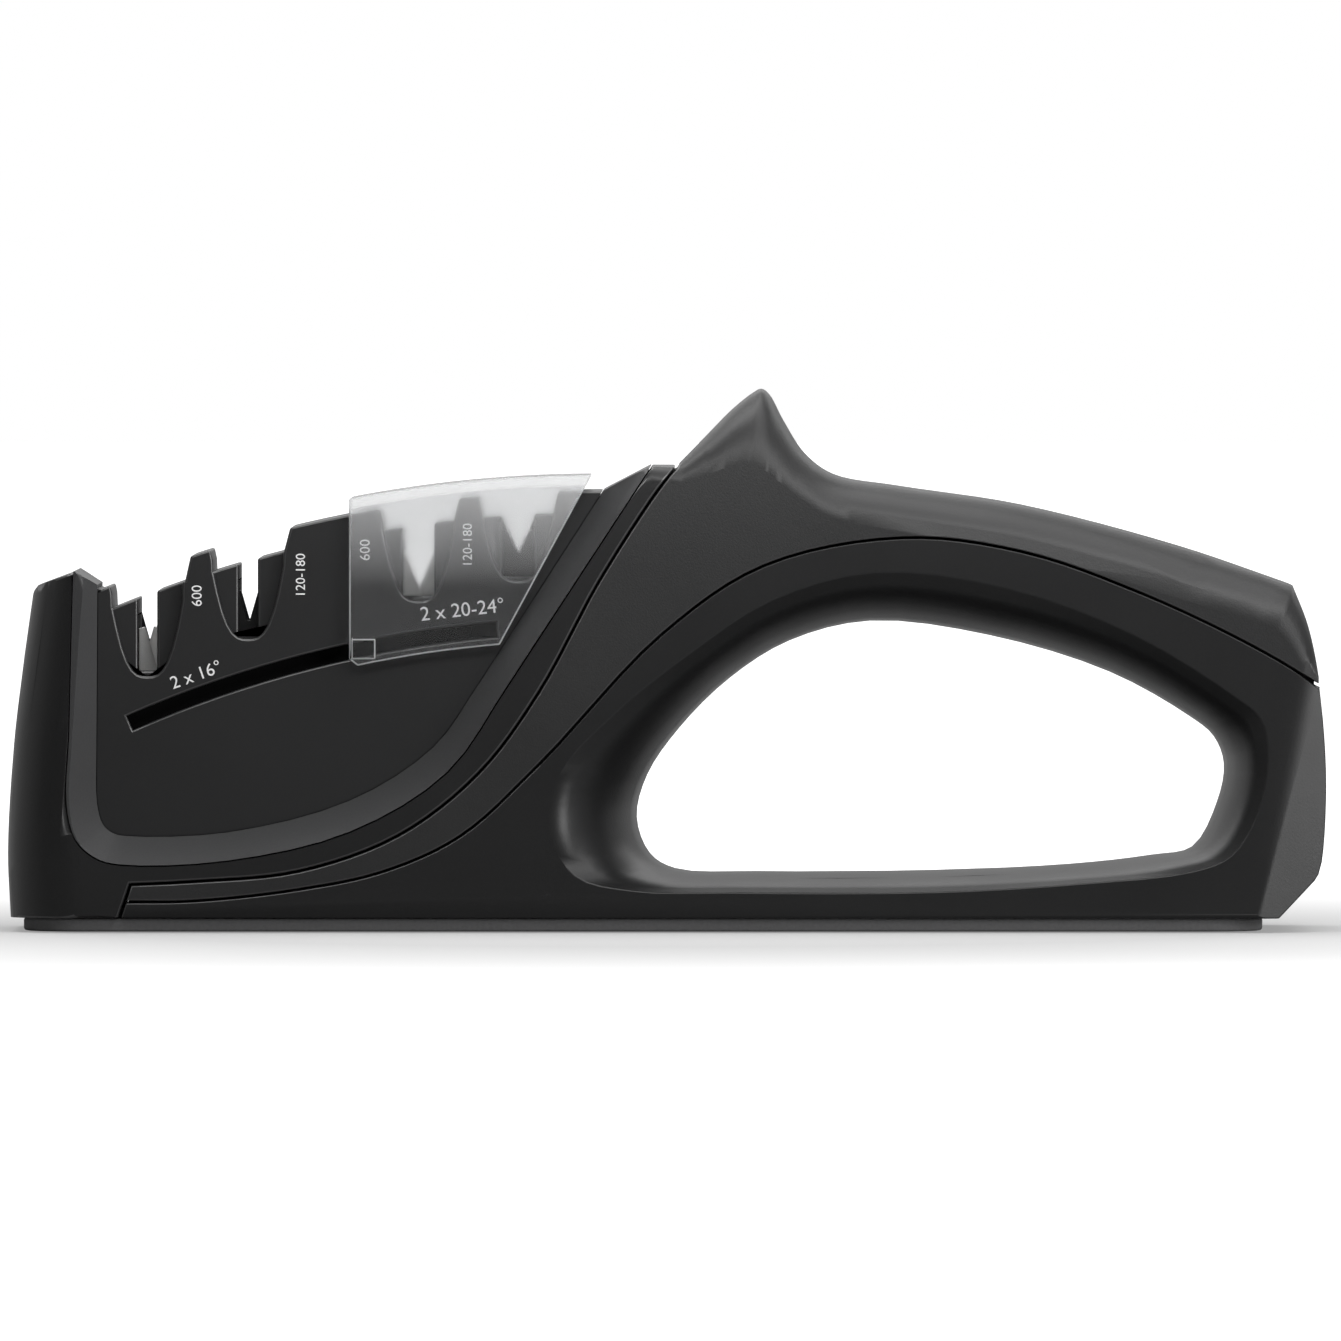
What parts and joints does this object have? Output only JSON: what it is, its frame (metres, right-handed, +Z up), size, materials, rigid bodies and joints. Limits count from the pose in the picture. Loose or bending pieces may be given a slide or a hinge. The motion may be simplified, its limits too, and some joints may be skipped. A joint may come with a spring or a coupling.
{
  "type": "handheld knife sharpener",
  "caption": "Handheld pull-through knife sharpener with slots in a curved head, a sliding clear slot cover, a loop handle with a thumb horn and a rubber sole.",
  "frame": {"origin": "under the middle of the sole, on the surface that the sharpener stands on", "axes": "+X along the body from the slotted head to the rear of the handle, +Y across the body, +Z up"},
  "size_m": [0.2188, 0.0498, 0.0897],
  "materials": {
    "body_plastic": "fine satin moulded black",
    "grip_plastic": "soft-touch matt black",
    "band_plastic": "satin dark grey",
    "block_plastic": "satin moulded black",
    "carrier_plastic": "plain moulded black",
    "clear_plastic": "hazy clear plastic",
    "plate_plastic": "plain moulded black",
    "sole_rubber": "matt dark grey rubber",
    "ceramic": "fine ground fired ceramic",
    "carbide": "ground dark carbide",
    "screw_steel": "zinc plated"
  },
  "bodies": {
    "sharpener": {"handle_frame": "body_plastic", "head_housing": "body_plastic", "grip_cap": "grip_plastic", "trim_band": "band_plastic", "slot_block": "block_plastic", "narrow_carrier": "carrier_plastic", "wide_carrier": "carrier_plastic", "base_plate": "plate_plastic", "sole_pad": "sole_rubber", "ceramic_rod_1a": "ceramic", "ceramic_rod_1b": "ceramic", "ceramic_rod_3a": "ceramic", "ceramic_rod_3b": "ceramic", "carbide_bar_2a": "carbide", "carbide_bar_2b": "carbide", "carbide_bar_4a": "carbide", "carbide_bar_4b": "carbide", "base_screw_1": "screw_steel", "base_screw_2": "screw_steel", "base_screw_3": "screw_steel", "base_screw_4": "screw_steel", "base_screw_5": "screw_steel", "base_screw_6": "screw_steel"},
    "cover": {"slot_cover": "clear_plastic"}
  },
  "joints": [
    {"name": "cover_slide", "type": "hinge", "parent": "sharpener", "child": "cover", "pos_m": [-0.0119, 0, -0.1405], "axis": [0, -1, 0], "range_deg": [0, 11.3]}
  ]
}
